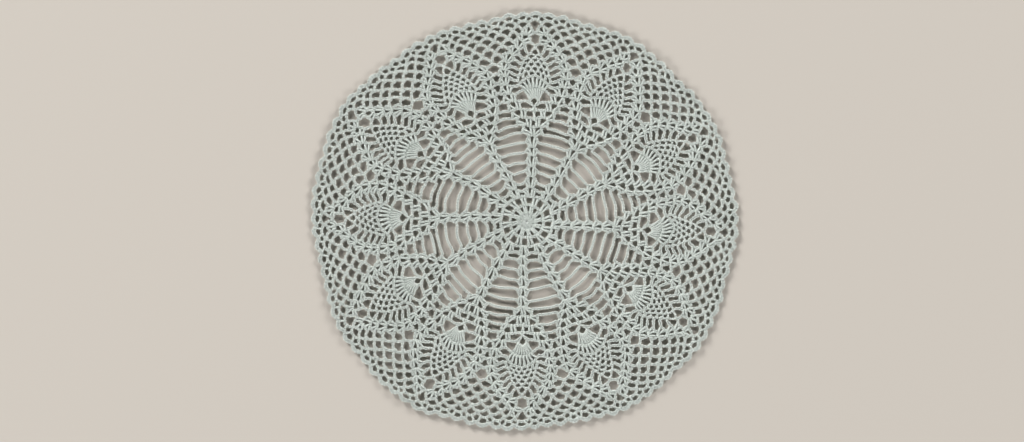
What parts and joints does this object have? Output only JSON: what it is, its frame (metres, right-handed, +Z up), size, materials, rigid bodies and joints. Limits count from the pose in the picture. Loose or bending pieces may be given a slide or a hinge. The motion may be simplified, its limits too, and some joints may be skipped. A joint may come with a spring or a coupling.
{
  "type": "lace doily",
  "caption": "Round crocheted cotton lace doily with a scalloped picot edge, pineapple motifs and ladders of chains, lying flat.",
  "frame": {"origin": "middle of the underside, halfway between the outermost points of the edge", "axes": "+Z up through the doily, off the surface that it lies on; +X and +Y lie in its plane"},
  "size_m": [0.321, 0.3146, 0.002],
  "materials": {
    "cotton": "matte, twisted crochet cotton, pale grey green"
  },
  "bodies": {
    "root": {"doily": "cotton"}
  },
  "joints": []
}
